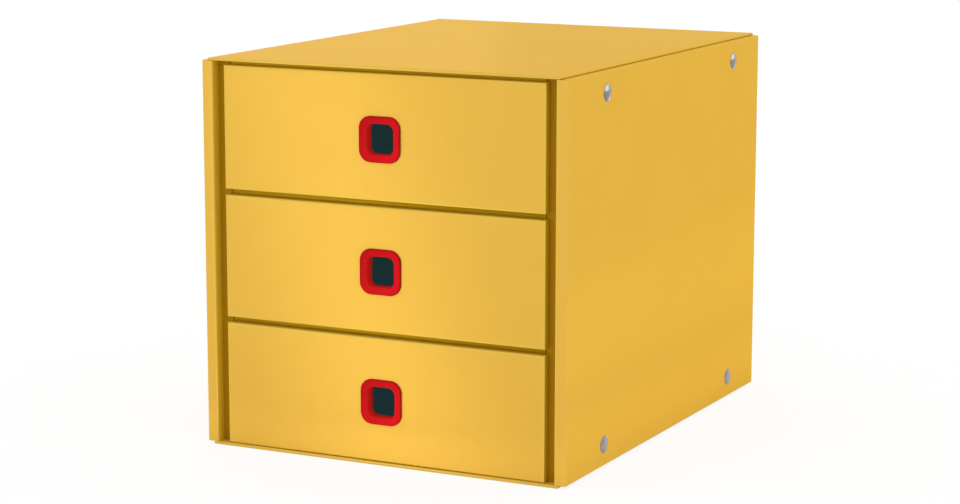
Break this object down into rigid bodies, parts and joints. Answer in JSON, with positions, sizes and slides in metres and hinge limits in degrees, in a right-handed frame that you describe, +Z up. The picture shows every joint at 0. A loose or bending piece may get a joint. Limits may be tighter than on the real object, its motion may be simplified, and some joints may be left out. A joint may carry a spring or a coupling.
{
  "type": "desktop drawer organizer",
  "caption": "Folded board desktop cabinet with pull-out drawers, each pulled by a square finger ring in its front; press studs join its boards.",
  "frame": {"origin": "middle of the footprint, on the surface that the cabinet stands on", "axes": "+Z is up; the drawers pull out towards -Y; +X is the right side seen from the front"},
  "size_m": [0.2884, 0.358, 0.282],
  "materials": {
    "cabinet_board": "satin laminated yellow",
    "inner_board": "satin laminated yellow",
    "front_board": "satin laminated yellow",
    "tray_board": "satin yellow outside, dark lining inside",
    "ring_plastic": "glossy red moulding",
    "stud_steel": "nickel-plated steel"
  },
  "bodies": {
    "cabinet": {"cabinet_wrap": "cabinet_board", "side_panel_right": "cabinet_board", "side_panel_left": "cabinet_board", "shelf_lower": "inner_board", "shelf_upper": "inner_board", "top_liner": "inner_board", "cabinet_stud_caps": "stud_steel", "cabinet_stud_sockets": "stud_steel", "cabinet_stud_nubs": "stud_steel", "cabinet_stud_posts": "stud_steel"},
    "drawer_top": {"drawer_top_tray": "tray_board", "drawer_top_front": "front_board", "drawer_top_ring": "ring_plastic", "drawer_top_ring_clip": "ring_plastic", "drawer_top_stud_caps": "stud_steel", "drawer_top_stud_sockets": "stud_steel", "drawer_top_stud_nubs": "stud_steel", "drawer_top_stud_posts": "stud_steel"},
    "drawer_middle": {"drawer_middle_tray": "tray_board", "drawer_middle_front": "front_board", "drawer_middle_ring": "ring_plastic", "drawer_middle_ring_clip": "ring_plastic", "drawer_middle_stud_caps": "stud_steel", "drawer_middle_stud_sockets": "stud_steel", "drawer_middle_stud_nubs": "stud_steel", "drawer_middle_stud_posts": "stud_steel"},
    "drawer_bottom": {"drawer_bottom_tray": "tray_board", "drawer_bottom_front": "front_board", "drawer_bottom_ring": "ring_plastic", "drawer_bottom_ring_clip": "ring_plastic", "drawer_bottom_stud_caps": "stud_steel", "drawer_bottom_stud_sockets": "stud_steel", "drawer_bottom_stud_nubs": "stud_steel", "drawer_bottom_stud_posts": "stud_steel"}
  },
  "joints": [
    {"name": "drawer_top_slide", "type": "slide", "parent": "cabinet", "child": "drawer_top", "axis": [0, -1, 0], "range_m": [0, 0.28]},
    {"name": "drawer_middle_slide", "type": "slide", "parent": "cabinet", "child": "drawer_middle", "axis": [0, -1, 0], "range_m": [0, 0.28]},
    {"name": "drawer_bottom_slide", "type": "slide", "parent": "cabinet", "child": "drawer_bottom", "axis": [0, -1, 0], "range_m": [0, 0.28]}
  ]
}
